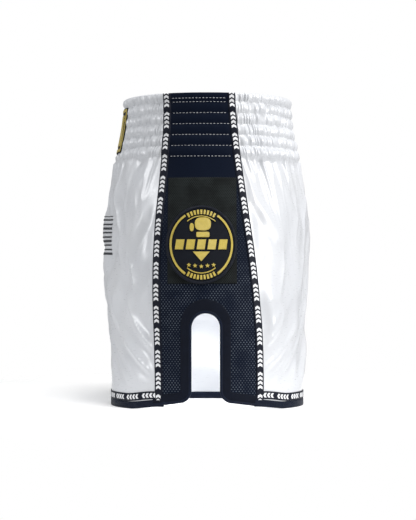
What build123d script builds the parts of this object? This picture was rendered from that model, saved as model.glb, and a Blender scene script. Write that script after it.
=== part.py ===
from build123d import *
import os
from math import cos, pi, sin, copysign

os.makedirs("parts", exist_ok=True)

# Thai-boxing shorts, adult medium, worn shape. Millimetres.
# The front faces -Y, the wearer's left is +X, and the shorts stand on their hems at Z = 0.

# Overall shape
garment_length = 380.0
waist_half_width = 136.0
waist_half_depth = 104.5
hip_half_depth = 130.0
hem_half_width = 200.0
hem_half_depth = 117.0
hip_top_height = 215.0        # the hips are fullest between these two heights
hip_bottom_height = 170.0
full_width_height = 60.0      # the width stops growing below this height
roundness = 2.2               # exponent of the oval section, 2 is an ellipse

# Legs
crotch_height = 115.0
hem_corner = 96.0             # centre of the leg's oval at the hem
hem_wall = 7.5                # from the middle to the inner leg at the hem

# Cloth
cloth = 1.2                   # main cloth with its turnings
trim = 0.8                    # tape, patch and facing cloth

# Waistband
stitch_pitch = 13.3
stitch_rows = 6
band_height = 78.0
channel_gap = 1.5             # between one elastic and the next
elastic = 1.6
layer_gap = 0.1               # between one layer of cloth and the next

# Side panel, its edges from the top down as (Z share of the length, Y)
front_edge = [(1.0, -53.5), (0.81, -55.0), (0.62, -61.5), (0.34, -65.0), (0.0, -62.5)]
back_edge = [(1.0, 33.5), (0.81, 40.0), (0.62, 50.0), (0.25, 65.5), (0.0, 66.5)]
tape_width = 9.5              # seen square from the side

# Slit in the side panel
slit_centre = -1.7
slit_half_width = 16.7
slit_top = 114.0
slit_corner = 15.0            # rounding where the slit meets the hem
side_hem_rise = 8.5           # the side panel's hem rises this much towards the slit
binding_width = 3.6
facing_width = 9.0
facing_lift = 4.0             # the facing is this much taller over the slit's crown
binding = 2.8                 # binding folded round the edge, whole thickness

# Hem
hem_band_height = 8.5
hem_tape_height = 9.5

# Patch and badge
patch_front = -47.0
patch_back = 35.2
patch_bottom = 149.0
patch_top = 276.0
badge_centre_y = -6.8
badge_centre_z = 194.8
badge_half_width = 41.5
badge_half_height = 46.6
badge_edge = 2.6              # overlocked border
badge_ground = 1.2
badge_thread = 0.8            # embroidery on the ground
ring_inset = 4.4              # from the badge's outer edge to the embroidered ring
ring_width = 2.4
arc_gap = 30.0                # the side arcs stop this far from the badge's middle
glove_radius = 12.5
glove_height = 21.0           # above the badge's middle
bar_count = 5
bar_pitch = 12.6
bar_width = 9.6
bar_height = 12.0
bar_slant = 1.8

# Front waistband badge and leg print
waist_badge_half_width = 56.0
waist_badge_bottom = 312.0
waist_badge_top = 368.0
print_inner = 44.0
print_outer = 100.0
print_bottom = 182.0
print_top = 234.0
print_cloth = 0.4

# Gusset
crotch_seam_half_width = 5.0  # the folded seam between the legs, where four panels meet
crotch_seam_height = 15.0

# Drawcord eyelets inside the front
eyelet_spacing = 26.0
eyelet_height = 341.0
eyelet_outer = 5.5
eyelet_hole = 3.0
eyelet_cloth = 1.0
eyelet_clearance = 1.2        # the casing curves in behind the eyelets by less than this

# Label inside the back of the waistband
label_half_width = 20.0
label_length = 50.0
label_cloth = 0.8
label_axis_height = 371.0
label_clearance = 1.2         # from the casing to the hanging label
hinge_gap = 0.5
tab_height = 6.0

# Offsets of the layers from the cloth's outer face
elastic_outer = -cloth - layer_gap
elastic_inner = elastic_outer - elastic
casing_outer = elastic_inner - layer_gap
casing_inner = casing_outer - cloth
trim_inner = layer_gap
trim_outer = trim_inner + trim
ground_inner = trim_outer + layer_gap
ground_outer = ground_inner + badge_ground
thread_inner = ground_outer + layer_gap
thread_outer = thread_inner + badge_thread

band_bottom = garment_length - band_height
gusset_top = crotch_height - crotch_seam_height
side_reach_in = 60.0
side_reach_out = hem_half_width + 60.0
band_sections = 5                         # sections that shape the waistband
beyond = 10.0                             # how far cutting shapes pass the garment


def ease(share):
    # Smooth step from 0 to 1
    s = min(1.0, max(0.0, share))
    return s * s * (3 - 2 * s)


def half_depth(z):
    if z > hip_bottom_height:
        up = ease((z - hip_top_height) / (garment_length - hip_top_height))
        return hip_half_depth + (waist_half_depth - hip_half_depth) * up
    down = ease((hip_bottom_height - z) / hip_bottom_height)
    return hip_half_depth + (hem_half_depth - hip_half_depth) * down


def half_width(z):
    down = ease((garment_length - z) / (garment_length - full_width_height))
    return waist_half_width + (hem_half_width - waist_half_width) * down


def corner_centre(z):
    # The side of the garment starts at the middle above the crotch, and at the leg's own
    # middle at the hem
    return hem_corner * ease(1 - z / crotch_height)


def power(value):
    return copysign(abs(value) ** (2 / roundness), value)


def outer_point(z, offset, turn):
    # turn runs from -90 degrees at the front to 90 degrees at the back
    middle = corner_centre(z)
    across = half_width(z) - middle + offset
    return (middle + across * power(cos(turn)), (half_depth(z) + offset) * power(sin(turn)), z)


def inner_point(z, offset, turn):
    # turn runs from 90 degrees at the back to 270 degrees at the front
    middle = corner_centre(z)
    across = (hem_corner - hem_wall) * ease(1 - z / crotch_height) + offset
    return (middle + across * power(cos(turn)), (half_depth(z) + offset) * power(sin(turn)), z)


outer_turns = [(step - 4) * pi / 8 for step in range(9)]
inner_turns = [(step + 4) * pi / 8 for step in range(9)]


far = hem_half_width + beyond


def spread(bottom, top, count):
    return [bottom + (top - bottom) * step / (count - 1) for step in range(count)]


def wall(curve, turns, heights, inner_offset, outer_offset):
    # A sheet of cloth between two offsets, lofted upwards through its sections
    sections = []
    for z in heights:
        outside = [curve(z, outer_offset, turn) for turn in turns]
        inside = [curve(z, inner_offset, turn) for turn in turns]
        outline = [Spline(*outside), Line(outside[-1], inside[-1]),
                   Spline(*inside), Line(inside[0], outside[0])]
        sections.append(make_face(outline))
    return loft(sections)


def side_wall(inner_offset, outer_offset):
    # From the centre front round the left side to the centre back, hem to waist
    heights = spread(0, crotch_height, 7)
    heights += spread(crotch_height, band_bottom, 5)[1:]
    heights += spread(band_bottom, garment_length, band_sections)[1:]
    return wall(outer_point, outer_turns, heights, inner_offset, outer_offset)


def inner_leg_wall(inner_offset, outer_offset):
    # From the back corner round the inside of the left leg to the front corner
    return wall(inner_point, inner_turns, spread(0, gusset_top, 7), inner_offset, outer_offset)


def leg_ring(outer_wall, inner_wall, bottom, top):
    # Round the left leg from tape to tape, by way of the inside of the leg
    slab = block(0, far, -far, far, bottom, top)
    outer = (outer_wall & slab) - tape_outside
    return single(outer + (inner_wall & slab))


def waist_section(z, offset):
    left = [outer_point(z, offset, turn) for turn in outer_turns]
    right = [(-x, y, height) for x, y, height in reversed(left)]
    return make_face([Spline(*left), Spline(*right)])


def waist_ring(inner_offset, outer_offset, bottom, top):
    # The whole way round the waist
    heights = spread(bottom, top, band_sections)
    outer = loft([waist_section(z, outer_offset) for z in heights])
    return single(outer - loft([waist_section(z, inner_offset) for z in heights]))


def block(x_low, x_high, y_low, y_high, z_low, z_high):
    size = Box(x_high - x_low, y_high - y_low, z_high - z_low)
    return Pos((x_low + x_high) / 2, (y_low + y_high) / 2, (z_low + z_high) / 2) * size


def edge_points(edge, shift):
    inside = [(y + shift, share * garment_length) for share, y in edge]
    top = (inside[0][0], garment_length + beyond)
    bottom = (inside[-1][0], -beyond)
    return [top] + inside[1:-1] + [bottom]


def side_region(front_shift, back_shift):
    # Between the side panel's edges, each moved towards the back by its shift
    front = edge_points(front_edge, front_shift)
    back = edge_points(back_edge, back_shift)
    outline = [Spline(*front), Line(front[-1], back[-1]), Spline(*back), Line(back[0], front[0])]
    return side_prism(make_face(outline))


def tape_region(edge, shift):
    front = edge_points(edge, shift)
    back = edge_points(edge, shift + tape_width)
    outline = [Spline(*front), Line(front[-1], back[-1]), Spline(*back), Line(back[0], front[0])]
    return side_prism(make_face(outline))


def side_prism(face):
    return extrude(Plane.YZ.offset(side_reach_in) * face, side_reach_out - side_reach_in)


def slit_region(grow, lift=0.0):
    # The slit with its flared mouth, grown into the cloth, its crown lifted
    half = slit_half_width + grow
    crown = slit_top - slit_half_width + lift
    mouth = side_hem_rise + grow
    radius = slit_corner - grow
    low = -beyond - grow
    low_half = slit_half_width + slit_corner
    run = front_edge[-1][1] - slit_centre
    reach = max(abs(run), back_edge[-1][1] - slit_centre) + beyond
    slope = side_hem_rise / (reach - beyond - low_half)
    fall = mouth - slope * (reach - low_half)
    slot = Pos(slit_centre, (crown + mouth) / 2) * Rectangle(2 * half, crown - mouth)
    slot += Pos(slit_centre, crown) * Circle(half)
    base = [(-reach, low), (reach, low), (reach, fall), (low_half, mouth), (-low_half, mouth),
            (-reach, fall)]
    flare = make_face(Polyline(*[(slit_centre + y, z) for y, z in base], close=True))
    if radius > 0.5:
        corner = Pos(0, mouth + radius / 2) * Rectangle(2 * (half + radius), radius)
        for side in (-1, 1):
            corner -= Pos(side * (half + radius), mouth + radius) * Circle(radius)
        flare += Pos(slit_centre, 0) * corner
    else:
        flare += Pos(slit_centre, mouth) * Rectangle(2 * half, 2)
    return side_prism(slot + flare)


def single(shape):
    # The largest solid of a shape, without slivers
    return max(shape.solids(), key=lambda solid: solid.volume)


def badge_outline(inset):
    return Ellipse(badge_half_width - inset, badge_half_height - inset)


def badge_prism(sketch):
    return side_prism(Pos(badge_centre_y, badge_centre_z) * sketch)


def badge_motif():
    # Two side arcs, and a boxing glove over a row of slanted bars
    ring = badge_outline(ring_inset) - badge_outline(ring_inset + ring_width)
    ring -= Rectangle(2 * arc_gap, 3 * badge_half_height)
    glove = Pos(0, glove_height) * Circle(glove_radius)
    glove += Pos(glove_radius, glove_height - 0.45 * glove_radius) * Circle(0.45 * glove_radius)
    cuff_height = glove_radius
    glove += Pos(0, glove_height - glove_radius) * Rectangle(1.3 * glove_radius, cuff_height)
    sketch = ring + glove
    for number in range(bar_count):
        middle = (number - (bar_count - 1) / 2) * bar_pitch
        corners = [(-0.5, -1), (0.5, -1), (0.5, 1), (-0.5, 1)]
        points = [(middle + x * bar_width + y * bar_slant, y * bar_height / 2) for x, y in corners]
        sketch += make_face(Polyline(*points, close=True))
    return sketch


pieces = {}


def both(name, solid):
    pieces[name + "_left"] = solid
    pieces[name + "_right"] = mirror(solid, about=Plane.YZ)


# Layers of the left side, from the cloth outwards
cloth_wall = side_wall(-cloth, 0)
trim_wall = side_wall(trim_inner, trim_outer)
binding_wall = side_wall(trim_outer - binding, trim_outer)
ground_wall = side_wall(ground_inner, ground_outer)
thread_wall = side_wall(thread_inner, thread_outer)
border_wall = side_wall(ground_inner, thread_outer)
print_wall = side_wall(trim_inner, trim_inner + print_cloth)
inner_cloth_wall = inner_leg_wall(-cloth, 0)
inner_trim_wall = inner_leg_wall(trim_inner, trim_outer)
inner_binding_wall = inner_leg_wall(trim_outer - binding, trim_outer)

seam_region = side_region(tape_width / 2, -tape_width / 2)
tape_outside = side_region(0, 0)
front_tape_region = tape_region(front_edge, 0)
back_tape_region = tape_region(back_edge, -tape_width)
slit = slit_region(0)
slit_bound = slit_region(binding_width)
slit_faced = slit_region(binding_width + facing_width, facing_lift)
cloth_bottom = hem_band_height + layer_gap
centre = layer_gap / 2                    # half the gap along the centre seams
front_half = block(centre, far, -far, 0, cloth_bottom, garment_length + beyond)
back_half = block(centre, far, 0, far, cloth_bottom, garment_length + beyond)

# Cloth panels
both("front_panel", single((cloth_wall & front_half) - seam_region))
both("back_panel", single((cloth_wall & back_half) - seam_region))
both("side_panel", single((cloth_wall & seam_region) - slit_bound))

# Slit
both("slit_binding", single((binding_wall & slit_bound & side_region(tape_width, -tape_width)) - slit))
facing = (trim_wall & slit_faced & side_region(tape_width, -tape_width)) - slit_bound
both("slit_facing", single(facing))

# Tapes
both("front_tape", single(trim_wall & front_tape_region))
both("back_tape", single(trim_wall & back_tape_region))

# Hem, all round the leg from tape to tape
hem_tape_top = hem_band_height + hem_tape_height
both("hem_band", leg_ring(binding_wall, inner_binding_wall, 0, hem_band_height))
both("hem_tape", leg_ring(trim_wall, inner_trim_wall, cloth_bottom, hem_tape_top))

# Inner legs, and the strip that closes the crotch
gusset = inner_cloth_wall & block(0, far, -far, far, cloth_bottom, gusset_top)
both("inner_leg_gusset", single(gusset))
crotch_depth = half_depth(gusset_top) - 2 * cloth
pieces["crotch_strip"] = block(-crotch_seam_half_width, crotch_seam_half_width,
                               -crotch_depth, crotch_depth, gusset_top, crotch_height)

# Patch and badge
patch_size = (patch_back - patch_front, patch_top - patch_bottom)
patch = Pos((patch_front + patch_back) / 2, (patch_bottom + patch_top) / 2) * Rectangle(*patch_size)
both("mesh_patch", single(trim_wall & side_prism(patch) & side_region(tape_width, -tape_width)))
both("badge_ground", single(ground_wall & badge_prism(badge_outline(badge_edge))))
both("badge_border", single(border_wall & badge_prism(badge_outline(0) - badge_outline(badge_edge))))
motif = thread_wall & badge_prism(badge_motif())
both("badge_motif", Compound(children=list(motif.solids())))

# Waistband
pieces["waist_casing"] = waist_ring(casing_inner, casing_outer, band_bottom, garment_length)
for row in range(stitch_rows):
    low = band_bottom + row * stitch_pitch
    high = min(low + stitch_pitch, garment_length)
    low += channel_gap / 2
    high -= channel_gap / 2
    pieces["elastic_%d" % (row + 1)] = waist_ring(elastic_inner, elastic_outer, low, high)
badge_ring = waist_ring(trim_inner, ground_outer, waist_badge_bottom, waist_badge_top)
badge_block = block(-waist_badge_half_width, waist_badge_half_width, -far, 0, 0, garment_length)
pieces["waist_badge"] = single(badge_ring & badge_block)

# Leg print
print_slab = block(print_inner, print_outer, -far, 0, print_bottom, print_top)
pieces["leg_print"] = single(print_wall & print_slab)

# Drawcord eyelets, a pair
eyelet_face = -(half_depth(eyelet_height) + casing_inner) + eyelet_clearance
eyelet_ring = Circle(eyelet_outer) - Circle(eyelet_hole)
eyelets = []
for side in (-1, 1):
    place = Plane(origin=(side * eyelet_spacing / 2, eyelet_face, eyelet_height), z_dir=(0, 1, 0))
    eyelets.append(extrude(place * eyelet_ring, eyelet_cloth))
pieces["drawcord_eyelets"] = Compound(children=eyelets)

# Label: a tab sewn to the casing, and the label that swings below it
label_edge_turn = outer_point(label_axis_height, casing_inner, pi / 2)
label_drop = label_half_width ** roundness / half_width(label_axis_height) ** roundness
label_back = label_edge_turn[1] * (1 - label_drop) ** (1 / roundness) - label_clearance
label_axis = label_back - label_cloth / 2
label = block(-label_half_width, label_half_width, label_back - label_cloth, label_back,
              label_axis_height - label_length, label_axis_height)
pieces["care_label"] = label
casing_back = half_depth(label_axis_height) + casing_outer
tab = block(-label_half_width, label_half_width, label_back - label_cloth, casing_back,
            label_axis_height + hinge_gap, label_axis_height + hinge_gap + tab_height)
pieces["label_tab"] = single(tab - waist_ring(casing_inner, 0, band_bottom, garment_length))

for name, solid in pieces.items():
    export_step(solid, "parts/" + name + ".step")
print(len(pieces), "nodes; label axis at y %.2f z %.1f" % (label_axis, label_axis_height))
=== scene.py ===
import math
import bpy
import numpy as np
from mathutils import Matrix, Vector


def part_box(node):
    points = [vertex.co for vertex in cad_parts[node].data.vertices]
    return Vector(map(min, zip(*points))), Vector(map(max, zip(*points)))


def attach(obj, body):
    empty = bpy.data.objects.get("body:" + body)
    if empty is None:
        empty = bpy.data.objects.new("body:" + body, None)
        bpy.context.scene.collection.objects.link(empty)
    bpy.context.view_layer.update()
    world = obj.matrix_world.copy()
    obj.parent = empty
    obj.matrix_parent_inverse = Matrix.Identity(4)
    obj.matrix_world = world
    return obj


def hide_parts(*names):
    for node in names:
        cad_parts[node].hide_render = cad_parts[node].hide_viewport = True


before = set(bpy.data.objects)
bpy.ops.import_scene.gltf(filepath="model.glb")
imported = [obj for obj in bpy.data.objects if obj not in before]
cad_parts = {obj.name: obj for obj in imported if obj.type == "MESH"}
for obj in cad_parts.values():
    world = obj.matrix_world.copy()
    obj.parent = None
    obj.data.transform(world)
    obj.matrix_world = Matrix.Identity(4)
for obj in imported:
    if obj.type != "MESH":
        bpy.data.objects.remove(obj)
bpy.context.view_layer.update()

halfPi = math.pi / 2

# The shorts' shape, metres. The frame gives the overall sizes.
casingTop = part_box("waist_casing")[1]
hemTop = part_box("hem_band_left")[1]
trimLift = 0.0009  # outer face of the tapes above the cloth
shape = {
    "length": casingTop[2],
    "waistHalfWidth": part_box("elastic_6")[1][0] + 0.0010,
    "waistHalfDepth": 0.1045,
    "hipHalfDepth": 0.130,
    "hemHalfWidth": 0.200,
    "hemHalfDepth": hemTop[1] - trimLift,
    "hipTop": 0.215,
    "hipBottom": 0.170,
    "fullWidth": 0.060,
    "roundness": 2.2,
    "crotch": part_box("crotch_strip")[1][2],
    "hemCorner": 0.096,
    "hemWall": 0.0075,
    "bandBottom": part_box("waist_casing")[0][2],
    "pitch": 0.0133,
    "rows": 6,
    "hemBand": hemTop[2],
    "sideRise": 0.0040,
}
tape = {"width": 0.0095, "lift": trimLift, "chevron": 0.0052, "bottom": 0.0118}
frontEdgePoints = [(1.0, -53.5), (0.81, -55.0), (0.62, -61.5), (0.34, -65.0), (0.0, -62.5)]
backEdgePoints = [(1.0, 33.5), (0.81, 40.0), (0.62, 50.0), (0.25, 65.5), (0.0, 66.5)]
slit = {"centre": -0.0017, "half": 0.0167, "top": 0.114, "corner": 0.015, "rise": 0.0085,
        "reach": 0.062, "fall": 0.50}


def ease(share):
    s = np.clip(share, 0, 1)
    return s * s * (3 - 2 * s)  # smooth step


def halfDepth(z):
    top = shape["hipHalfDepth"] + (shape["waistHalfDepth"] - shape["hipHalfDepth"]) * ease(
        (z - shape["hipTop"]) / (shape["length"] - shape["hipTop"]))
    low = shape["hipHalfDepth"] + (shape["hemHalfDepth"] - shape["hipHalfDepth"]) * ease(
        (shape["hipBottom"] - z) / shape["hipBottom"])
    return np.where(z > shape["hipBottom"], top, low)


def halfWidth(z):
    down = ease((shape["length"] - z) / (shape["length"] - shape["fullWidth"]))
    return shape["waistHalfWidth"] + (shape["hemHalfWidth"] - shape["waistHalfWidth"]) * down


def legMiddle(z):
    return shape["hemCorner"] * ease(1 - z / shape["crotch"])


def power(value, exponent=2 / shape["roundness"]):
    # The size to a power, with the sign kept
    return np.sign(value) * np.abs(value) ** exponent


def ringPoint(middle, across, turn, z, lift):
    # Superellipse: x = middle + across cos, y = depth sin, with both to a power
    x = middle + (across + lift) * power(np.cos(turn))
    y = (halfDepth(z) + lift) * power(np.sin(turn))
    return np.stack(np.broadcast_arrays(x, y, z), -1)


def outerPoint(turn, z, lift=0.0):
    # Round the left side: across = half width - middle
    middle = legMiddle(z)
    return ringPoint(middle, halfWidth(z) - middle, turn, z, lift)


def innerPoint(turn, z, lift=0.0):
    # Round the inside of the leg: across = the leg's own small half axis
    across = (shape["hemCorner"] - shape["hemWall"]) * ease(1 - z / shape["crotch"])
    return ringPoint(legMiddle(z), across, turn, z, lift)


def turnAt(y, z):
    # The turn whose point has this y: the superellipse solved for its angle
    share = np.clip(np.abs(y) / halfDepth(z), 0, 1)
    return np.sign(y) * np.arcsin(share ** (shape["roundness"] / 2))


def edgeCurve(points):
    # A quartic through the panel edge's five points
    shares = [share * shape["length"] for share, _ in points]
    return np.polyfit(shares, [y / 1000 for _, y in points], 4)


frontEdge = edgeCurve(frontEdgePoints)
backEdge = edgeCurve(backEdgePoints)


def edgeY(edge, z, shift=0.0):
    return np.polyval(edge, z) + shift


def softNoise(x, y, seed):
    # Value noise: random values on a unit lattice, joined by smooth steps, from -1 to 1
    table = np.random.RandomState(seed).uniform(-1, 1, (256, 256))
    x, y = np.broadcast_arrays(x, y)
    left, low = np.floor(x).astype(int), np.floor(y).astype(int)
    u, v = ease(x - left), ease(y - low)
    a = table[left % 256, low % 256]
    b = table[(left + 1) % 256, low % 256]
    c = table[left % 256, (low + 1) % 256]
    d = table[(left + 1) % 256, (low + 1) % 256]
    return (a * (1 - u) + b * u) * (1 - v) + (c * (1 - u) + d * u) * v


def ridged(x, y, seed):
    # The same noise folded at nought, which makes narrow crests, from -1 to 1
    return 1 - 2.4 * np.abs(softNoise(x, y, seed)) ** 0.8


def rowPhase(z):
    return (z - shape["bandBottom"]) / shape["pitch"]


def rowPuff(z):
    # Each channel of the waistband rounds out between its two stitch lines
    phase = np.clip(rowPhase(z), 0, shape["rows"])
    puff = np.abs(np.sin(math.pi * phase)) ** 0.7
    return np.where(z > shape["bandBottom"], puff, 0.0)


def sideRelief(y, z):
    # Lift of the side panel: soft channels at the waist and a slow unevenness below
    slow = 0.0006 * softNoise(y / 0.030 + 3, z / 0.045, 5)
    crease = 0.00022 * softNoise(y / 0.006, z / 0.009, 6) * (z > shape["bandBottom"])
    return 0.0014 * rowPuff(z) + slow + crease


def paired(first, second):
    # Two grids of values side by side, as coordinates
    return np.stack(np.broadcast_arrays(first, second), -1)


def gridObject(name, points, uv=None, wrap=False, flip=False, keep=None, closed=False):
    # Quads between neighbours: wrap joins the last column to the first, closed the last row
    rows, cols = points.shape[:2]
    index = np.arange(rows * cols).reshape(rows, cols)
    if wrap:
        index = np.concatenate([index, index[:, :1]], 1)
    if closed:
        index = np.concatenate([index, index[:1]], 0)
    quads = np.stack([index[:-1, :-1], index[:-1, 1:], index[1:, 1:], index[1:, :-1]], -1)
    if keep is not None:
        quads = quads[keep]
    used, quads = np.unique(quads.reshape(-1, 4), return_inverse=True)
    quads = quads.reshape(-1, 4)
    if flip:
        quads = quads[:, ::-1]
    uv = None if uv is None else uv.reshape(-1, 2)[used]
    return meshObject(name, points.reshape(-1, 3)[used], quads, uv)


def meshObject(name, points, faces, uv=None, smooth=True):
    mesh = bpy.data.meshes.new(name)
    mesh.from_pydata(points.tolist(), [], faces.tolist() if hasattr(faces, "tolist") else faces)
    if uv is not None:
        layer = mesh.uv_layers.new(name="clothMap")
        corners = np.empty(len(mesh.loops), dtype=np.int32)
        mesh.loops.foreach_get("vertex_index", corners)
        layer.data.foreach_set("uv", uv[corners].astype(np.float32).ravel())
    mesh.polygons.foreach_set("use_smooth", np.full(len(mesh.polygons), smooth))
    mesh.update()
    piece = bpy.data.objects.new(name, mesh)
    bpy.context.scene.collection.objects.link(piece)
    return piece


def mirrored(points, side):
    return points * np.array([1 if side == "left" else -1, 1, 1])


def normalsOf(points):
    # Cross product of the grid's two directions, at every point
    along = np.gradient(points, axis=1)
    up = np.gradient(points, axis=0)
    normal = np.cross(along, up)
    return normal / np.maximum(np.linalg.norm(normal, axis=-1, keepdims=True), 1e-12)


def girth(points):
    # Distance along each row from its first point
    steps = np.linalg.norm(np.diff(points, axis=1), axis=-1)
    return np.concatenate([np.zeros((len(points), 1)), np.cumsum(steps, 1)], 1)


def thicken(piece, thickness):
    solid = piece.modifiers.new("thickness", "SOLIDIFY")
    solid.thickness = thickness
    solid.offset = -1
    return piece


def place(piece, material, slotName, *nodes, body="shorts"):
    piece.data.materials.append(material)
    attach(piece, body)
    if nodes:
        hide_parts(*nodes)
    return piece


def shader(name, color, roughness, **sockets):
    material = bpy.data.materials.new(name)
    material.use_nodes = True
    net = material.node_tree
    principled = net.nodes["Principled BSDF"]
    principled.inputs["Base Color"].default_value = (*color, 1)
    principled.inputs["Roughness"].default_value = roughness
    for socket, value in sockets.items():
        principled.inputs[socket.replace("_", " ")].default_value = value
    return material, net


def into(net, socket, value):
    # Links a value to a socket of the material's own shader
    net.links.new(value, net.nodes["Principled BSDF"].inputs[socket])


def mathNode(net, operation, *values):
    node = net.nodes.new("ShaderNodeMath")
    node.operation = operation
    for number, value in enumerate(values):
        if isinstance(value, (int, float)):
            node.inputs[number].default_value = value
        else:
            net.links.new(value, node.inputs[number])
    return node.outputs[0]


def vectorNode(net, operation, vector, second=None):
    node = net.nodes.new("ShaderNodeVectorMath")
    node.operation = operation
    net.links.new(vector, node.inputs[0])
    if second is not None:
        node.inputs[1].default_value = second
    return node.outputs["Value" if operation == "LENGTH" else "Vector"]


def clothMap(net, scaleX=1.0, scaleY=1.0, shift=0.0):
    source = net.nodes.new("ShaderNodeUVMap")
    source.uv_map = "clothMap"
    mapping = net.nodes.new("ShaderNodeMapping")
    mapping.inputs["Scale"].default_value = (scaleX, scaleY, 1)
    mapping.inputs["Location"].default_value = (shift, shift, 0)
    net.links.new(source.outputs["UV"], mapping.inputs["Vector"])
    return mapping.outputs["Vector"]


def clothAxes(net):
    split = net.nodes.new("ShaderNodeSeparateXYZ")
    net.links.new(clothMap(net), split.inputs[0])
    return split.outputs["X"], split.outputs["Y"]


def objectMap(net):
    return net.nodes.new("ShaderNodeTexCoord").outputs["Object"]


def noiseNode(net, vector, scale, detail=2.0):
    node = net.nodes.new("ShaderNodeTexNoise")
    node.inputs["Scale"].default_value = scale
    node.inputs["Detail"].default_value = detail
    net.links.new(vector, node.inputs["Vector"])
    return node.outputs["Fac"]


def waveNode(net, vector, scale, distortion=0.0, detail=2.0, direction="X"):
    node = net.nodes.new("ShaderNodeTexWave")
    node.bands_direction = direction
    node.inputs["Scale"].default_value = scale
    node.inputs["Distortion"].default_value = distortion
    node.inputs["Detail"].default_value = detail
    net.links.new(vector, node.inputs["Vector"])
    return node.outputs["Fac"]


def rangeNode(net, value, low, high, toLow=0.0, toHigh=1.0):
    node = net.nodes.new("ShaderNodeMapRange")
    node.interpolation_type = "SMOOTHSTEP"
    for number, setting in enumerate((low, high, toLow, toHigh)):
        node.inputs[number + 1].default_value = setting
    net.links.new(value, node.inputs[0])
    return node.outputs[0]


def mixColors(net, factor, first, second):
    node = net.nodes.new("ShaderNodeMix")
    node.data_type = "RGBA"
    net.links.new(factor, node.inputs["Factor"])
    for number, color in ((6, first), (7, second)):
        if isinstance(color, tuple):
            node.inputs[number].default_value = (*color, 1)
        else:
            net.links.new(color, node.inputs[number])
    return node.outputs[2]


def bumpFrom(net, height, distance, strength=0.6):
    bump = net.nodes.new("ShaderNodeBump")
    bump.inputs["Distance"].default_value = distance
    bump.inputs["Strength"].default_value = strength
    net.links.new(height, bump.inputs["Height"])
    into(net, "Normal", bump.outputs["Normal"])


def latticeDots(net, pitchX, pitchY, low, high):
    # Dots on a centred lattice: the nearer of two grids, half a pitch apart, in millimetres
    nearest = None
    for shift in (0.0, 0.5):
        cell = vectorNode(net, "FRACTION", clothMap(net, 1 / pitchX, 1 / pitchY, shift))
        centred = vectorNode(net, "SUBTRACT", cell, (0.5, 0.5, 0))
        scaled = vectorNode(net, "MULTIPLY", centred, (pitchX * 1000, pitchY * 1000, 0))
        far = vectorNode(net, "LENGTH", scaled)
        nearest = far if nearest is None else mathNode(net, "MINIMUM", nearest, far)
    return rangeNode(net, nearest, low, high, 1.0, 0.0)


def patchy(net, scale, least):
    # Slow unevenness over the cloth, from the least value up to one
    return rangeNode(net, noiseNode(net, clothMap(net), scale, 3), 0.3, 0.7, least, 1.0)


def satinMaterial():
    # White satin: long floats give a soft directional gloss over a very fine weave
    look = {"dark": (0.64, 0.66, 0.70), "light": (0.76, 0.775, 0.80), "gloss": 0.8,
            "weave": 1500, "rough": (0.26, 0.36), "cloud": 14, "depth": 0.00008}
    material, net = shader("satinWhite", look["light"], 0.3, Specular_IOR_Level=look["gloss"],
                           Anisotropic=0.35, Coat_Weight=0.15, Coat_Roughness=0.22)
    mottled = noiseNode(net, objectMap(net), look["cloud"], 3)
    into(net, "Base Color", mixColors(net, mottled, look["dark"], look["light"]))
    weave = noiseNode(net, clothMap(net, 1, 0.12), look["weave"], 1)
    slubs = noiseNode(net, clothMap(net, 0.15, 1), look["weave"] * 0.5, 2)
    into(net, "Roughness", rangeNode(net, slubs, 0.2, 0.8, *look["rough"]))
    bumpFrom(net, weave, look["depth"], 0.5)
    return material


def meshClothMaterial():
    # Navy air mesh: pale pinholes on a centred lattice, which a plain strip at the waist lacks
    look = {"navy": (0.0050, 0.0095, 0.0270), "dot": (0.105, 0.125, 0.150),
            "pitch": (0.0036, 0.0050), "dotEdge": (0.35, 1.05),
            "weaker": (0.150, 0.185, 1.0, 0.35), "plain": (0.255, 0.285, 1.0, 0.0),
            "grain": ((0.0018, 0.0038, 0.0105), (0.0050, 0.0095, 0.0240)), "depth": 0.0003}
    material, net = shader("meshNavy", look["navy"], 0.62, Specular_IOR_Level=0.06)
    dots = latticeDots(net, *look["pitch"], *look["dotEdge"])
    height = clothAxes(net)[1]
    low = rangeNode(net, height, *look["weaker"])
    high = rangeNode(net, height, *look["plain"])
    bands = mathNode(net, "MULTIPLY", low, high)
    strength = mathNode(net, "MULTIPLY", bands, patchy(net, 60, 0.25))
    factor = mathNode(net, "MULTIPLY", dots, strength)
    grain = noiseNode(net, clothMap(net), 900, 2)
    ground = mixColors(net, grain, *look["grain"])
    into(net, "Base Color", mixColors(net, factor, ground, look["dot"]))
    bumpFrom(net, mathNode(net, "SUBTRACT", grain, factor), look["depth"], 0.7)
    return material


def patchMaterial():
    # Black net: dark diamonds between fine grey-green threads
    look = {"pitch": (0.0025, 0.0034), "holeEdge": (0.45, 0.95), "hole": (0.0014, 0.0017, 0.0020),
            "thread": (0.022, 0.028, 0.028), "depth": 0.0004}
    material, net = shader("meshBlack", (0.004, 0.005, 0.006), 0.6, Specular_IOR_Level=0.10)
    holes = latticeDots(net, *look["pitch"], *look["holeEdge"])
    between = mathNode(net, "SUBTRACT", 1.0, holes)
    thread = mathNode(net, "MULTIPLY", between, patchy(net, 45, 0.35))
    into(net, "Base Color", mixColors(net, thread, look["hole"], look["thread"]))
    bumpFrom(net, thread, look["depth"], 0.8)
    return material


def bindingMaterial(name, low, high, roughness):
    # Woven navy binding: cross ribs with a soft gloss
    material, net = shader(name, low, roughness, Specular_IOR_Level=0.12)
    ribs = waveNode(net, clothMap(net), 420, 0.6)
    cloud = noiseNode(net, objectMap(net), 90, 3)
    into(net, "Base Color", mixColors(net, cloud, low, high))
    bumpFrom(net, ribs, 0.00015, 0.6)
    return material


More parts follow.
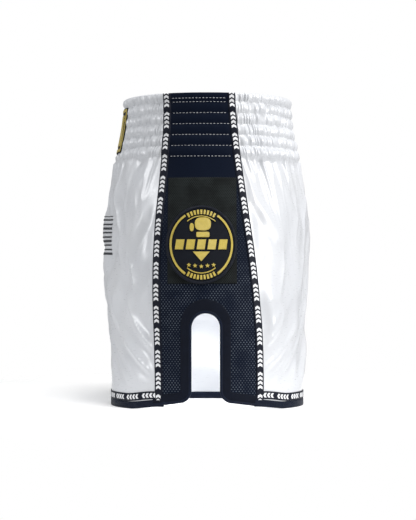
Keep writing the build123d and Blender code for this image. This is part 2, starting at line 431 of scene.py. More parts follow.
def tapeMaterial():
    # Jacquard tape: groups of four white chevrons, a gap, and again
    look = {"slope": 0.0065, "chevron": (0.56, 0.64), "group": 5, "groupEnd": (0.79, 0.80),
            "edge": (0.27, 0.31), "white": (0.83, 0.84, 0.86), "depth": 0.0002,
            "ground": ((0.0025, 0.0035, 0.009), (0.007, 0.010, 0.022))}
    material, net = shader("wovenTape", (0.004, 0.006, 0.014), 0.5, Specular_IOR_Level=0.15)
    share, along = clothAxes(net)
    across = mathNode(net, "ABSOLUTE", mathNode(net, "SUBTRACT", share, 0.5))
    bent = mathNode(net, "MULTIPLY_ADD", across, look["slope"], along)
    inside = rangeNode(net, across, *look["edge"], 1.0, 0.0)
    mask = inside
    for pitch, ends in ((1, look["chevron"]), (look["group"], look["groupEnd"])):
        part = mathNode(net, "FRACT", mathNode(net, "DIVIDE", bent, tape["chevron"] * pitch))
        mask = mathNode(net, "MULTIPLY", mask, rangeNode(net, part, *ends, 1.0, 0.0))
    ribs = noiseNode(net, clothMap(net, 0.01, 1), 2600, 1)
    ground = mixColors(net, ribs, *look["ground"])
    into(net, "Base Color", mixColors(net, mask, ground, look["white"]))
    bumpFrom(net, mathNode(net, "MULTIPLY_ADD", mask, 1.2, ribs), look["depth"], 0.6)
    return material


def threadMaterial(name, low, high, roughness, scale, gloss=0.4):
    # Embroidery thread: fine parallel strands with a silky gloss
    material, net = shader(name, high, roughness, Specular_IOR_Level=gloss, Anisotropic=0.4)
    strands = waveNode(net, objectMap(net), scale, 1.2, 1.0)
    cloud = mathNode(net, "MULTIPLY", noiseNode(net, objectMap(net), 260, 2), 0.4)
    factor = mathNode(net, "MULTIPLY_ADD", strands, 0.6, cloud)
    into(net, "Base Color", mixColors(net, factor, low, high))
    bumpFrom(net, strands, 0.00025, 0.8)
    return material


def wovenMaterial(name, low, high, roughness, scale, gloss=0.4):
    # Plain weave from two crossed waves
    material, net = shader(name, high, roughness, Specular_IOR_Level=gloss)
    waves = [waveNode(net, objectMap(net), scale, direction=axis) for axis in ("X", "Z")]
    weave = mathNode(net, "MULTIPLY", *waves)
    cloud = mathNode(net, "MULTIPLY", noiseNode(net, objectMap(net), 120, 3), 0.5)
    factor = mathNode(net, "MULTIPLY_ADD", weave, 0.5, cloud)
    into(net, "Base Color", mixColors(net, factor, low, high))
    bumpFrom(net, weave, 0.0002, 0.6)
    return material


def brushedMaterial():
    # Pressed eyelet metal with fine scratches
    material, net = shader("eyeletMetal", (0.62, 0.62, 0.64), 0.28, Metallic=1.0)
    scratches = noiseNode(net, objectMap(net), 1800, 3)
    into(net, "Roughness", rangeNode(net, scratches, 0.3, 0.7, 0.22, 0.38))
    bumpFrom(net, scratches, 0.00005, 0.4)
    return material


satin = satinMaterial()
meshNavy = meshClothMaterial()
meshBlack = patchMaterial()
bindingNavy = bindingMaterial("bindingNavy", (0.0028, 0.0055, 0.015), (0.0065, 0.0120, 0.029), 0.45)
facingNavy = bindingMaterial("facingNavy", (0.0016, 0.0028, 0.0075), (0.0040, 0.0070, 0.0170), 0.6)
tapeCloth = tapeMaterial()
goldThread = threadMaterial("goldThread", (0.40, 0.29, 0.035), (0.80, 0.64, 0.14), 0.36, 900)
edgeThread = threadMaterial("edgeThread", (0.003, 0.004, 0.008), (0.012, 0.016, 0.028), 0.45, 900,
                            0.2)
whiteThread = threadMaterial("whiteThread", (0.50, 0.52, 0.55), (0.85, 0.86, 0.88), 0.5, 1500)
badgeTwill = wovenMaterial("badgeTwill", (0.0030, 0.0042, 0.008), (0.008, 0.011, 0.019), 0.55, 700,
                           0.12)
casingCloth = wovenMaterial("casingCloth", (0.66, 0.68, 0.71), (0.80, 0.81, 0.83), 0.6, 900)
elasticKnit = wovenMaterial("elasticKnit", (0.60, 0.60, 0.60), (0.82, 0.82, 0.80), 0.7, 350)
labelCloth = wovenMaterial("labelCloth", (0.72, 0.73, 0.74), (0.88, 0.88, 0.88), 0.5, 1100)
printFilm = wovenMaterial("printFilm", (0.030, 0.032, 0.038), (0.090, 0.095, 0.105), 0.4, 800, 0.2)
eyeletMetal = brushedMaterial()
print("materials ready")


panel = {"cloth": 0.0006, "columns": 270, "bandRows": 80, "bodyRows": 80, "rollRows": 8,
         "puff": 0.0024, "crinkle": 0.0019, "roll": 0.0021}
waistBadge = {"half": 0.056, "low": 0.312, "high": 0.368, "rim": 0.0014, "frame": 0.0035,
              "bars": 5, "cloth": 0.0012, "ground": 0.0021, "gold": 0.0027}


def panelHeights():
    # Rows close together in the waistband, wider below
    body = np.linspace(0.0055, shape["bandBottom"], panel["bodyRows"], endpoint=False)
    band = np.linspace(shape["bandBottom"], shape["length"] - panel["roll"], panel["bandRows"])
    return np.concatenate([body, band])


def whiteRelief(s, z, seed):
    # Gathers: puffed channels with upright crinkles, which run out below as soft folds
    inBand = ease((z - shape["bandBottom"] + 0.004) / 0.006)
    puff = rowPuff(z)
    row = np.floor(np.clip(rowPhase(z), -1, 9))
    lean = 0.10 * (z - shape["bandBottom"]) + 0.004 * softNoise(s / 0.03, row * 1.7, seed + 9)
    fine = ridged((s + lean) / 0.0034, row * 3.1 + z / 0.035, seed)
    broad = softNoise((s - lean) / 0.0065, row * 5.3 + z / 0.050, seed + 1)
    crinkle = panel["crinkle"] * (0.60 * fine + 0.55 * broad) * (0.45 + 0.55 * puff)
    band = inBand * (panel["puff"] * puff + crinkle)
    below = np.clip(shape["bandBottom"] - z, 0, 1)
    short = 0.0022 * np.exp(-below / 0.030) * ridged(s / 0.0075, z / 0.06, seed + 2)
    middle = 0.0045 * np.exp(-below / 0.065) * softNoise(s / 0.017 + below * 3, z / 0.11, seed + 3)
    turned = 0.9 * s + 0.42 * z
    along = 0.9 * z - 0.42 * s
    drape = 0.0036 * softNoise(turned / 0.036, along / 0.150, seed + 4)
    drape += 0.0026 * ridged(turned / 0.040, along / 0.170, seed + 7)
    drape += 0.0013 * ridged(turned / 0.019, along / 0.080, seed + 8)
    cross = 0.0028 * softNoise((s - 0.5 * z) / 0.020, (z + 0.3 * s) / 0.070, seed + 5)
    slack = 0.0030 * softNoise(s / 0.060, z / 0.070, seed + 6)
    folds = (short + middle + (drape + cross + slack) * ease(below / 0.07)) * (1 - inBand)
    return band + folds - 0.0012 * (1 - inBand)


def whitePanel(kind, side, seed):
    # Grid from the centre seam, or the leg's corner, to the seam under the tape
    z = panelHeights()[:, None]
    share = np.linspace(0, 1, panel["columns"])[None, :]
    if kind == "front":
        seam = turnAt(edgeY(frontEdge, z, tape["width"] * 0.5), z)
        turn = -halfPi + share * (seam + halfPi)
    else:
        seam = turnAt(edgeY(backEdge, z, -tape["width"] * 0.5), z)
        turn = halfPi + share * (seam - halfPi)
    base = outerPoint(turn, z)
    s = girth(base)
    toSeam = s[:, -1:] - s
    centre = ease(s / 0.012)
    hold = ease(toSeam / 0.020) * ease((z - 0.019) / 0.030) * centre
    holdBand = ease(toSeam / 0.010) * centre
    white = whiteRelief(s, z, seed)
    inBand = z > shape["bandBottom"]
    seamLift = sideRelief(base[..., 1], z)
    lift = seamLift + (white - seamLift) * np.where(inBand, holdBand, hold)
    lift = lift * ease((z - 0.016) / 0.02)
    if kind == "front":
        under = (ease((waistBadge["half"] + 0.006 - base[..., 0]) / 0.006)
                 * ease((z - waistBadge["low"] + 0.005) / 0.004)
                 * ease((waistBadge["high"] + 0.005 - z) / 0.004))
        lift = lift * (1 - under) + 0.0006 * under
    normal = normalsOf(base) * (1 if kind == "front" else -1)
    points = base + normal * lift[..., None]
    points = np.concatenate([points, topRoll(base[-1], normal[-1], lift[-1])], 0)
    uv = rolledMap(s, z[:, 0])
    if kind == "front" and side == "left":
        legPrintPiece(points)
    flip = (kind == "back") != (side == "right")
    name = kind + side.capitalize() + "Panel"
    piece = gridObject(name, mirrored(points, side), uv, flip=flip)
    thicken(piece, panel["cloth"])
    place(piece, satin, "satin_white", kind + "_panel_" + side)
    return piece


def rolledMap(across, heights):
    # Cloth coordinates of a grid and of the rows rolled over its top edge
    rolled = shape["length"] + 0.001 * np.arange(panel["rollRows"])
    across = np.concatenate([across, np.repeat(across[-1:], panel["rollRows"], 0)], 0)
    return paired(across, np.concatenate([heights, rolled])[:, None])


def topRoll(edge, normal, lift):
    # A half circle over the top edge, from the outer face to the casing inside
    rows = []
    for step in range(1, panel["rollRows"] + 1):
        angle = math.pi * step / panel["rollRows"]
        inward = panel["roll"] * (math.cos(angle) - 1)
        rise = panel["roll"] * math.sin(angle)
        stay = lift * (0.5 + 0.5 * math.cos(angle))
        point = edge + normal * (stay + inward)[:, None]
        point[:, 2] += rise
        rows.append(point)
    return np.array(rows)


legPrint = {"x": (0.044, 0.080), "z": (0.182, 0.234), "bars": 9, "share": 0.40,
            "lift": 0.0005, "film": 0.0004}


def legPrintPiece(points):
    # Bars of dark film on the left leg's front: the panel's own grid, a little outside it
    z = points[..., 2].mean(1)
    rows = np.where((z > legPrint["z"][0]) & (z < legPrint["z"][1]))[0]
    x = points[rows].mean(0)[:, 0]
    cols = np.where((x > legPrint["x"][0]) & (x < legPrint["x"][1]))[0]
    block = fineGrid(points[rows[0]:rows[-1] + 1, cols[0]:cols[-1] + 1], 4)
    block = block + normalsOf(block) * legPrint["lift"]
    high = np.linspace(0, legPrint["bars"], block.shape[0] - 1) % 1
    keep = np.tile((high < legPrint["share"])[:, None], (1, block.shape[1] - 1))
    piece = gridObject("legPrint", block, keep=keep)
    thicken(piece, legPrint["film"])
    return place(piece, printFilm, "print_black", "leg_print")


def fineGrid(points, times):
    # The same surface with more rows and columns, by straight interpolation
    for axis in (0, 1):
        count = points.shape[axis]
        at = np.linspace(0, count - 1, (count - 1) * times + 1)
        low = np.minimum(at.astype(int), count - 2)
        part = at - low
        part = part[:, None, None] if axis == 0 else part[None, :, None]
        points = np.take(points, low, axis) * (1 - part) + np.take(points, low + 1, axis) * part
    return points


def waistBadgePiece(name, x, z, lift, keep, material):
    # A patch across the front of the waistband, found from its own x and height
    x, z = np.meshgrid(x, z)
    share = (np.abs(x) / halfWidth(z)) ** (shape["roundness"] / 2)
    points = outerPoint(-np.arccos(np.clip(share, 0, 1)), z, lift)
    points[..., 0] = x
    piece = gridObject(name, points, keep=keep)
    thicken(piece, waistBadge["cloth"])
    return place(piece, material, "gold_thread", "waist_badge")


def waistBadges():
    # Dark ground, with a gold frame and slanted gold bars on it
    x = np.linspace(-waistBadge["half"], waistBadge["half"], 169)
    z = np.linspace(waistBadge["low"], waistBadge["high"], 85)
    waistBadgePiece("waistBadge", x, z, waistBadge["ground"], None, badgeTwill)
    midX = (x[:-1] + x[1:])[None, :] / 2
    midZ = (z[:-1] + z[1:])[:, None] / 2
    fromEdge = np.minimum(waistBadge["half"] - np.abs(midX),
                          np.minimum(midZ - waistBadge["low"], waistBadge["high"] - midZ))
    rim = waistBadge["rim"]
    frameLine = (fromEdge > rim) & (fromEdge < rim + waistBadge["frame"])
    pitch = 2 * waistBadge["half"] * 0.84 / waistBadge["bars"]
    across = ((midX + 0.25 * (midZ - 0.340)) / pitch + 0.5) % 1
    inRow = (np.abs(midX) < pitch * waistBadge["bars"] / 2) & (fromEdge > 0.009)
    bars = (np.abs(across - 0.5) < 0.36) & inRow
    waistBadgePiece("waistBadgeGold", x, z, waistBadge["gold"], frameLine | bars, goldThread)


waistBadges()
for side, seed in (("left", 11), ("right", 41)):
    whitePanel("front", side, seed)
    whitePanel("back", side, seed + 20)
print("white panels ready")


sidePanel = {"cloth": 0.0006, "columns": 96, "rows": 300, "clear": 0.0018}


def slitOutline(grow, lift=0.0, count=28):
    # Up one side of the slit and down the other: hem, corner, side, crown, side, corner, hem
    half = slit["half"] + grow
    crown = slit["top"] - slit["half"] + lift
    mouth = slit["rise"] + grow
    radius = max(slit["corner"] - grow, 0.0008)
    start = slit["half"] + slit["corner"]
    run = slit["reach"] - start
    t = np.linspace(0, 1, count)
    hem = np.stack([start + run * (1 - t), mouth - slit["rise"] * slit["fall"] * (1 - t)], 1)
    angle = halfPi + halfPi * t
    corner = np.stack([half + radius - radius * np.sin(angle - halfPi),
                       mouth + radius - radius * np.cos(angle - halfPi)], 1)
    side = np.stack([np.full(count, half), mouth + radius + (crown - mouth - radius) * t], 1)
    arc = np.stack([half * np.cos(halfPi * t), crown + half * np.sin(halfPi * t)], 1)
    right = np.concatenate([hem, corner[1:], side[1:], arc[1:]], 0)
    left = right[-2::-1] * [-1, 1]
    return np.concatenate([right, left], 0) + [slit["centre"], 0]


def insideSlit(y, z, grow):
    # True where a point lies in the slit grown by a width, or below the rising hem
    off = np.abs(y - slit["centre"])
    crown = slit["top"] - slit["half"]
    inSide = (off < slit["half"] + grow) & (z < crown)
    inCrown = np.hypot(off, z - crown) < slit["half"] + grow
    start = slit["half"] + slit["corner"]
    mouth = slit["rise"] + grow
    along = np.clip((off - start) / (slit["reach"] - start), 0, 1)
    under = z < mouth - slit["rise"] * slit["fall"] * along
    cornerZ = slit["rise"] + slit["corner"]
    outside = np.hypot(off - start, z - cornerZ) > slit["corner"] - grow
    return inSide | inCrown | under | ((off < start) & (z < cornerZ) & outside)


def sidePoint(y, z, lift=0.0):
    # A point of the left side from its height and its place front to back, lifted off the cloth
    turn = turnAt(y, z)
    base = outerPoint(turn, z)
    step = 1e-4
    along = outerPoint(turn + step, z) - base
    up = outerPoint(turn, z + step) - base
    normal = np.cross(along, up)
    normal /= np.linalg.norm(normal, axis=-1, keepdims=True)
    return base + normal * np.asarray(lift)[..., None]


def sidePanelPiece(side):
    heights = np.linspace(0.0, shape["length"] - panel["roll"], sidePanel["rows"])
    z = heights[:, None]
    share = np.linspace(0, 1, sidePanel["columns"])[None, :]
    front = edgeY(frontEdge, z, tape["width"] * 0.5)
    back = edgeY(backEdge, z, -tape["width"] * 0.5)
    y = front + share * (back - front)
    z = np.broadcast_to(z, y.shape)
    lift = sideRelief(y, z)
    points = sidePoint(y, z, lift)
    flat, raised = [sidePoint(y[-1], z[-1], np.full(y.shape[1], by)) for by in (0.0, 1.0)]
    points = np.concatenate([points, topRoll(flat, raised - flat, lift[-1])], 0)
    centreY = (y[:-1, :-1] + y[1:, 1:]) / 2
    centreZ = (z[:-1, :-1] + z[1:, 1:]) / 2
    keep = ~insideSlit(centreY, centreZ, sidePanel["clear"])
    keep = np.concatenate([keep, np.ones((panel["rollRows"], keep.shape[1]), dtype=bool)], 0)
    piece = gridObject("side" + side.capitalize() + "Panel", mirrored(points, side),
                       rolledMap(y, heights), flip=side == "right", keep=keep)
    thicken(piece, sidePanel["cloth"])
    place(piece, meshNavy, "mesh_navy", "side_panel_" + side)
    return piece


def stripPiece(name, front, back, heights, lift, side, look, node, columns, flatMap=False):
    # A strip between two lines in the side, with edges that turn down to the cloth
    z = heights[:, None]
    share = np.linspace(0, 1, columns)[None, :]
    y = front[:, None] + share * (back - front)[:, None]
    z = np.broadcast_to(z, y.shape)
    crown = 1 - np.abs(2 * share - 1) ** 8
    points = sidePoint(y, z, sideRelief(y, z) + 0.0002 + lift * crown)
    uv = paired(y if flatMap else share, z)
    piece = gridObject(name, mirrored(points, side), uv, flip=side == "right")
    thicken(piece, 0.0004)
    return place(piece, *look, node)


def tapePiece(kind, side):
    heights = np.linspace(tape["bottom"], shape["length"] - 0.0004, 420)
    edge = frontEdge if kind == "front" else backEdge
    shift = 0.0 if kind == "front" else -tape["width"]
    front = edgeY(edge, heights, shift)
    name = kind + "Tape" + side.capitalize()
    piece = stripPiece(name, front, front + tape["width"], heights, tape["lift"], side,
                       (tapeCloth, "woven_tape"), kind + "_tape_" + side, 11)
    return piece


def bandAlongSlit(name, side, band, look, node):
    # A band between two outlines round the slit: for each turn of its closed section, the
    # profile gives the share of the way across and the lift
    low = slitOutline(band["grow"][0])
    high = slitOutline(band["grow"][1], band["crown"])
    shares, lifts = closedProfile(*band["section"])
    y = low[:, None, 0] + (high - low)[:, None, 0] * shares[None, :]
    z = low[:, None, 1] + (high - low)[:, None, 1] * shares[None, :]
    z = np.maximum(z, 0.0004)
    points = sidePoint(y, z, lifts[None, :] + sideRelief(y, z))
    uv = paired(girth(points[None, :, 0])[0][:, None], lifts)
    piece = gridObject(name, mirrored(points, side), uv, wrap=True, flip=side == "left")
    return place(piece, *look, node)


def closedProfile(thickLow, thickHigh, squareness, count=20):
    # A rounded closed section: share across from 0 to 1, lift between two faces
    angle = np.linspace(0, 2 * math.pi, count, endpoint=False)
    middle, half = (thickLow + thickHigh) / 2, (thickHigh - thickLow) / 2
    lift = middle + half * power(np.sin(angle), squareness)
    return 0.5 + 0.5 * power(np.cos(angle), squareness), lift


patch = {"front": -0.0470, "back": 0.0352, "bottom": 0.149, "top": 0.276, "lift": 0.0006,
         "rows": 110, "columns": 72}


def patchPiece(side):
    heights = np.linspace(patch["bottom"], patch["top"], patch["rows"])
    front = np.full(patch["rows"], patch["front"])
    back = np.minimum(patch["back"], edgeY(backEdge, heights, -tape["width"] * 0.98))
    piece = stripPiece("meshPatch" + side.capitalize(), front, back, heights, patch["lift"], side,
                       (meshBlack, "mesh_black"), "mesh_patch_" + side, patch["columns"], True)
    return piece


slitBinding = {"grow": (0.0, 0.0036), "crown": 0.0, "section": (-0.0019, 0.0013, 0.8)}
slitFacing = {"grow": (0.0030, 0.0126), "crown": 0.004, "section": (-0.0002, 0.0010, 0.5)}

for side in ("left", "right"):
    sidePanelPiece(side)
    for kind in ("front", "back"):
        tapePiece(kind, side)
    patchPiece(side)
    bandAlongSlit("slitBinding" + side.capitalize(), side, slitBinding,
                  (bindingNavy, "binding_navy"), "slit_binding_" + side)
    bandAlongSlit("slitFacing" + side.capitalize(), side, slitFacing,
                  (facingNavy, "facing_navy"), "slit_facing_" + side)
print("side panels ready")


def capsules(name, centres, directions, normals, length, radius):
    # Small stitches: six-sided rods with pointed ends, laid along their directions
    segments = 6
    angle = np.linspace(0, 2 * math.pi, segments, endpoint=False)
    across = np.cross(normals, directions)
    rings = []
    for share, size in ((-0.5, 0.35), (-0.30, 1.0), (0.30, 1.0), (0.5, 0.35)):
        centre = centres + directions * (share * length)
        circle = (across[:, None] * np.cos(angle)[None, :, None]
                  + normals[:, None] * np.sin(angle)[None, :, None])
        rings.append(centre[:, None] + radius * size * circle)
    points = np.stack(rings, 1)
    block = np.arange(len(rings) * segments).reshape(len(rings), segments)
    after = np.roll(block, -1, axis=1)
    quads = np.stack([block[:-1], after[:-1], after[1:], block[1:]], -1).reshape(-1, 4)
    offsets = (np.arange(len(centres)) * block.size)[:, None]
    faces = (quads[None] + offsets[:, None]).reshape(-1, 4).tolist()
    faces += (offsets + block[0][::-1]).tolist() + (offsets + block[-1]).tolist()
    return meshObject(name, points.reshape(-1, 3), faces)


def alongLine(points, pitch):
    # Evenly spaced points of a line, with the direction there
    run = girth(points[None])[0]
    at = np.arange(pitch / 2, run[-1], pitch)
    spots = np.stack([np.interp(at, run, points[:, axis]) for axis in range(3)], 1)
    ahead = np.stack([np.interp(at + pitch * 0.2, run, points[:, axis]) for axis in range(3)], 1)
    direction = ahead - spots
    direction /= np.maximum(np.linalg.norm(direction, axis=1, keepdims=True), 1e-9)
    return spots, direction


def squareUp(normals, directions):
    normals = normals - directions * (normals * directions).sum(1, keepdims=True)
    return normals / np.linalg.norm(normals, axis=1, keepdims=True)


stitch = {"pitch": 0.0042, "length": 0.0026, "radius": 0.00032, "lift": 0.0003, "margin": 0.001,
          "top": 0.3730, "lowEnds": 0.302, "low": 0.3022, "up": [1.0, 0.0, 0.15]}


def waistStitches(side):
    # Running stitches of white thread along the channel lines across the side panel
    levels = [shape["bandBottom"] + row * shape["pitch"] for row in range(1, shape["rows"])]
    levels = [(level, level) for level in levels + [stitch["top"]]]
    lines = []
    for ends, level in levels + [(stitch["lowEnds"], stitch["low"])]:
        y = np.linspace(edgeY(frontEdge, ends, tape["width"]) + stitch["margin"],
                        edgeY(backEdge, ends, -tape["width"]) - stitch["margin"], 60)
        z = np.full(60, level)
        lines.append(alongLine(sidePoint(y, z, stitch["lift"] + sideRelief(y, z)), stitch["pitch"]))
    spots, ways = [np.concatenate(part) for part in zip(*lines)]
    ups = squareUp(np.broadcast_to(stitch["up"], spots.shape), ways)
    spots, ways, ups = [mirrored(part, side) for part in (spots, ways, ups)]
    piece = capsules("waistStitches" + side.capitalize(), spots, ways, ups, stitch["length"],
                     stitch["radius"])
    return place(piece, whiteThread, "overlock_thread")


def legRingPiece(name, side, ring, look, node):
    # A folded band round the leg, from the front tape by the inner leg to the back tape. Its
    # section is a rounded box: height and lift each run to a power of the cosine and sine.
    bottom, top = ring["bottom"], ring["top"]
    z = np.array([bottom, (bottom + top) / 2, top])
    start = turnAt(edgeY(frontEdge, z, ring["reach"]), z).mean()
    finish = turnAt(edgeY(backEdge, z, -ring["reach"]), z).mean()
    up, lift = closedProfile(*ring["lift"], 0.45)
    level = (bottom + (top - bottom) * up)[None, :]
    lift = lift[None, :]
    share = np.linspace(0, 1, 70)[:, None]
    nearTape = shape["sideRise"] * ease(1 - 2.5 * share)
    front = outerPoint(start + (-halfPi - start) * share, level + nearTape, lift)
    inner = innerPoint(1.5 * math.pi - math.pi * share, level, lift)
    back = outerPoint(halfPi + (finish - halfPi) * share, level + nearTape[::-1], lift)
    points = np.concatenate([front, inner[1:], back[1:]], 0)
    uv = paired(up, girth(points[None, :, 0])[0][:, None])
    piece = gridObject(name, mirrored(points, side), uv, wrap=True, flip=side == "right")
    return place(piece, *look, node)


gusset = {"bottom": 0.004, "top": 0.113, "slack": 0.0015, "cloth": 0.0006}
hemBand = {"lift": (-0.0019, 0.0010), "bottom": 0.0, "top": shape["hemBand"], "reach": 0.0105}
hemTape = {"lift": (0.0002, 0.0011), "bottom": shape["hemBand"] + 0.0001, "top": 0.0180,
           "reach": 0.0012}


def gussetPiece(side):
    # Inside of the leg, a sheet from the hem up to the seam between the legs
    z = np.linspace(gusset["bottom"], gusset["top"], 60)[:, None]
    turn = np.linspace(halfPi, 1.5 * math.pi, 90)[None, :]
    points = innerPoint(turn, z)
    s = girth(points)
    slack = softNoise(s / 0.05, z / 0.06, 77) * np.sin(turn - halfPi) * ease(z / 0.05)
    points[..., 0] += gusset["slack"] * slack
    piece = gridObject("innerLeg" + side.capitalize(), mirrored(points, side), paired(s, z),
                       flip=side == "right")
    thicken(piece, gusset["cloth"])
    place(piece, satin, "satin_white", "inner_leg_gusset_" + side)
    return piece


for side in ("left", "right"):
    waistStitches(side)
    legRingPiece("hemBand" + side.capitalize(), side, hemBand, (bindingNavy, "binding_navy"),
                 "hem_band_" + side)
    legRingPiece("hemTape" + side.capitalize(), side, hemTape, (tapeCloth, "woven_tape"),
                 "hem_tape_" + side)
    gussetPiece(side)
print("legs ready")


badge = {"y": -0.0068, "z": 0.1948, "halfWidth": 0.0415, "halfHeight": 0.0466, "edge": 0.0026,
         "ground": 0.0022, "thread": 0.0031, "ringInset": 0.0044, "ringWidth": 0.0024}


def badgePoint(u, v, lift):
    # The badge's own flat plane laid on the side: u towards the back, v up
    y, z = badge["y"] + u, badge["z"] + v
    return sidePoint(y, z, lift + sideRelief(y, z) * 0.5)


def badgeGround(side):
    # A domed oval: rings from the middle outwards, with the rim turned down
    turn = np.linspace(0, 2 * math.pi, 96, endpoint=False)[None, :]
    share = np.concatenate([np.linspace(0.004, 0.975, 22), [0.99, 1.0, 1.0]])[:, None]
    lift = np.concatenate([np.full(22, badge["ground"]), [0.0021, 0.0018, 0.0008]])[:, None]
    u = share * (badge["halfWidth"] - 0.0015) * np.cos(turn)
    v = share * (badge["halfHeight"] - 0.0015) * np.sin(turn)
    points = badgePoint(u, v, np.broadcast_to(lift, u.shape))
    piece = gridObject("badgeGround" + side.capitalize(), mirrored(points, side), wrap=True,
                       flip=side == "left")
    return place(piece, badgeTwill, "badge_cloth", "badge_ground_" + side)


def loopBand(outline, halfWidth, low, high, squareness=0.7, count=12):
    # A closed rounded section swept round a closed outline (u, v)
    ahead = np.roll(outline, -1, 0) - np.roll(outline, 1, 0)
    ahead /= np.linalg.norm(ahead, axis=1, keepdims=True)
    across = np.stack([-ahead[:, 1], ahead[:, 0]], 1)
    shares, lifts = closedProfile(low, high, squareness, count)
    offset = (shares - 0.5) * 2 * halfWidth
    flat = outline[:, None] + across[:, None] * offset[None, :, None]
    return badgePoint(flat[..., 0], flat[..., 1], np.broadcast_to(lifts, flat.shape[:2]))


def badgeBorder(side):
    # Overlocked edge: a thick roll whose surface carries the slanted ridges of the thread
    turn = np.linspace(0, 2 * math.pi, 720, endpoint=False)
    middle = badge["edge"] / 2
    outline = np.stack([(badge["halfWidth"] - middle) * np.cos(turn),
                        (badge["halfHeight"] - middle) * np.sin(turn)], 1)
    points = loopBand(outline, middle * 1.25, 0.0004, 0.0031, 0.8, 14)
    ridge = 0.00014 * np.sin(240 * turn)[:, None] * np.linspace(0.4, 1, 14)[None, :]
    points = points + np.array([1.0, 0, 0]) * ridge[..., None]
    piece = gridObject("badgeBorder" + side.capitalize(), mirrored(points, side), wrap=True,
                       flip=side == "right", closed=True)
    return place(piece, edgeThread, "overlock_thread", "badge_border_" + side)


def arcOutline(middle, half, insetOuter, insetInner, count=60):
    # A slice of the oval ring either side of its middle angle, as a closed outline
    turn = np.linspace(middle - half, middle + half, count)
    edges = []
    for angle, inset in ((turn, insetOuter), (turn[::-1], insetInner)):
        edges.append(np.stack([(badge["halfWidth"] - inset) * np.cos(angle),
                               (badge["halfHeight"] - inset) * np.sin(angle)], 1))
    return np.concatenate(edges, 0)


def starOutline(u, v, size):
    turn = halfPi + np.arange(10) * math.pi / 5
    radius = np.where(np.arange(10) % 2 == 0, size, size * 0.45)
    return np.stack([u + radius * np.cos(turn), v + radius * np.sin(turn)], 1)


def barOutline(u, v, width, height, slant):
    corners = np.array([[-1, -1], [1, -1], [1, 1], [-1, 1]])
    return corners * [width / 2, height / 2] + corners[:, 1:] * [slant, 0] + [u, v]


def roundOutline(u, v, halfU, halfV, roundness, count=36):
    # A superellipse: both coordinates are a power of the cosine and sine
    turn = np.linspace(0, 2 * math.pi, count, endpoint=False)
    return np.stack([u + halfU * power(np.cos(turn), 2 / roundness),
                     v + halfV * power(np.sin(turn), 2 / roundness)], 1)


def gloveOutlines():
    # A plain boxing glove: mitt, thumb beside it and cuff below, with gaps between them
    return [roundOutline(0.0018, 0.0245, 0.0096, 0.0080, 2.7),
            roundOutline(-0.0112, 0.0205, 0.0025, 0.0050, 2.2, 20),
            roundOutline(0.0018, 0.0118, 0.0078, 0.0032, 7, 28)]


def flatPatches(name, outlines, low, high, side, look, node):
    # Each outline becomes a low raised block: a rim, its walls, and a fan over the top
    verts, faces = [], []
    start = 0
    for outline in outlines:
        u, v = outline.T
        area = (u * np.roll(v, -1) - v * np.roll(u, -1)).sum()
        outline = outline if area > 0 else outline[::-1]
        count = len(outline)
        lower = badgePoint(outline[:, 0], outline[:, 1], np.full(count, low))
        centre = outline.mean(0)
        inset = outline + (centre - outline) * 0.03
        upper = badgePoint(inset[:, 0], inset[:, 1], np.full(count, high))
        verts.append(np.concatenate([lower, upper], 0))
        ring = np.arange(count)
        after = np.roll(ring, -1)
        faces += (np.stack([ring, after, after + count, ring + count], 1) + start).tolist()
        faces.append((start + count + ring).tolist())
        faces.append((start + ring[::-1]).tolist())
        start += 2 * count
    if side == "right":
        faces = [face[::-1] for face in faces]
    piece = meshObject(name, mirrored(np.concatenate(verts), side), faces, smooth=False)
    return place(piece, *look, node)


def badgeMotif(side):
    # Side arcs, dashes above and below, the glove, five slanted bars, a triangle and five stars
    inset = badge["ringInset"]
    ends = inset, inset + badge["ringWidth"]
    outlines = [arcOutline(centre, 1.02, *ends) for centre in (0, math.pi)]
    for centre in (halfPi, -halfPi):
        for step in range(-4, 5):
            middle = centre + step * 0.115
            outlines.append(arcOutline(middle, 0.035, inset + 0.0006, inset + 0.0060, 6))
        outlines.append(arcOutline(centre, 0.62, inset + 0.0078, inset + 0.0088, 40))
    for step in range(-2, 3):
        outlines.append(barOutline(step * 0.0126, 0.0, 0.0096, 0.0120, 0.0009))
    outlines += gloveOutlines()
    outlines.append(np.array([[-0.0100, -0.0085], [0.0, -0.0200], [0.0100, -0.0085]]))
    for step in range(-2, 3):
        drop = 0.0018 * (1 - abs(step) / 2)
        outlines.append(starOutline(step * 0.0072, -0.0255 - drop + 0.0012, 0.0027))
    return flatPatches("badgeMotif" + side.capitalize(), outlines, 0.0020, badge["thread"], side,
                       (goldThread, "gold_thread"), "badge_motif_" + side)


for side in ("left", "right"):
    badgeGround(side)
    badgeBorder(side)
    badgeMotif(side)
print("badges ready")


# These keep their engineering shape and take a material only
kept = {"waist_casing": (casingCloth, "casing_white"), "care_label": (labelCloth, "label_cloth"),
        "drawcord_eyelets": (eyeletMetal, "eyelet_metal"), "label_tab": (labelCloth, "label_cloth"),
        "crotch_strip": (satin, "satin_white")}
for row in range(shape["rows"]):
    kept["elastic_%d" % (row + 1)] = (elasticKnit, "elastic")
for name, (material, slotName) in kept.items():
    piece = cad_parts[name]
    piece.data.materials.clear()
    piece.data.materials.append(material)


studio = {
    "camera": (2.3, 0.001, 0.177), "lens": 123.9, "floor": 1.5, "fade": (0.30, 0.60),
    "sky": 0.36, "backdrop": 1.0,
    "lamps": (("keyBack", (0.9, 1.6, 0.9), 0.6, 24, (1.0, 0.99, 0.98)),
              ("overhead", (0.3, 0.2, 1.9), 0.6, 18, (1, 1, 1)),
              ("frontFill", (0.7, -1.6, 0.9), 0.5, 8, (0.97, 0.98, 1.0))),
    "legLamp": 0.25, "legSpot": (0.12, 0, 0.075), "legSize": 0.02,
    "target": (0.1, 0, 0.2), "glow": 0.22,
}


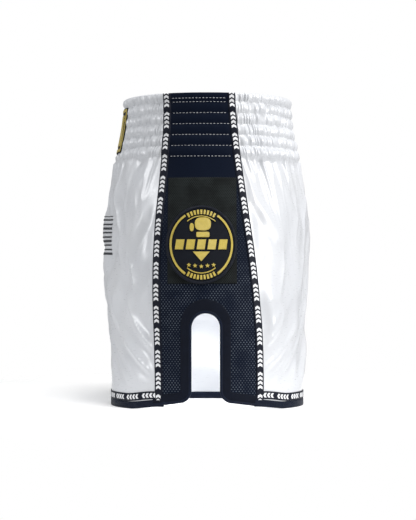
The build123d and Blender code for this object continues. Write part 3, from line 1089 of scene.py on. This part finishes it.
def floorMaterial():
    # Pale floor that fades into the backdrop away from the shorts
    material, net = shader("floorWhite", (0.93, 0.93, 0.93), 0.9, Specular_IOR_Level=0.1,
                           Emission_Color=(1, 1, 1, 1), Emission_Strength=studio["glow"])
    grain = noiseNode(net, objectMap(net), 3, 2)
    into(net, "Base Color", mixColors(net, grain, (0.92, 0.92, 0.92), (0.95, 0.95, 0.95)))
    clear = rangeNode(net, vectorNode(net, "LENGTH", objectMap(net)), *studio["fade"])
    into(net, "Alpha", rangeNode(net, clear, 0, 1, 1, 0))
    return material


def studioWorld():
    # Even light from all round, and plain white where the camera sees past the floor
    world = bpy.data.worlds.new("studioWorld")
    world.use_nodes = True
    nodes, links = world.node_tree.nodes, world.node_tree.links
    soft, white = nodes["Background"], nodes.new("ShaderNodeBackground")
    mixed = nodes.new("ShaderNodeMixShader")
    for number, (background, strength) in enumerate(((soft, studio["sky"]),
                                                     (white, studio["backdrop"]))):
        background.inputs["Color"].default_value = (1, 1, 1, 1)
        background.inputs["Strength"].default_value = strength
        links.new(background.outputs[0], mixed.inputs[number + 1])
    seen = nodes.new("ShaderNodeLightPath")
    links.new(seen.outputs["Is Camera Ray"], mixed.inputs[0])
    links.new(mixed.outputs[0], nodes["World Output"].inputs["Surface"])
    return world


def addLamp(name, kind, watts, spot):
    data = bpy.data.lights.new(name, kind)
    data.energy = watts
    lamp = bpy.data.objects.new(name, data)
    lamp.location = spot
    bpy.context.scene.collection.objects.link(lamp)
    return lamp


def studioScene():
    scene = bpy.context.scene
    bpy.ops.mesh.primitive_plane_add(size=studio["floor"] * 2, location=(0, 0, 0))
    floor = bpy.context.object
    floor.name = "studioFloor"
    floor.data.materials.append(floorMaterial())
    scene.world = studioWorld()
    for name, spot, size, watts, color in studio["lamps"]:
        lamp = addLamp(name, "AREA", watts, spot)
        lamp.data.size = size
        lamp.data.color = color
        aim = np.array(spot) - np.array(studio["target"])
        lamp.rotation_euler = (math.atan2(math.hypot(aim[0], aim[1]), aim[2]), 0,
                               math.atan2(aim[0], -aim[1]))
    for sign in (-1, 1):
        x, y, z = studio["legSpot"]
        lamp = addLamp("legLamp", "POINT", studio["legLamp"], (sign * x, y, z))
        lamp.data.shadow_soft_size = studio["legSize"]
        lamp.visible_camera = False
    data = bpy.data.cameras.new("photoCamera")
    data.lens = studio["lens"]
    data.sensor_width = 36
    camera = bpy.data.objects.new("photoCamera", data)
    camera.location = studio["camera"]
    camera.rotation_euler = (halfPi, 0, halfPi)
    scene.collection.objects.link(camera)
    scene.camera = camera
    scene.view_settings.view_transform = "Standard"


studioScene()
print("studio ready")
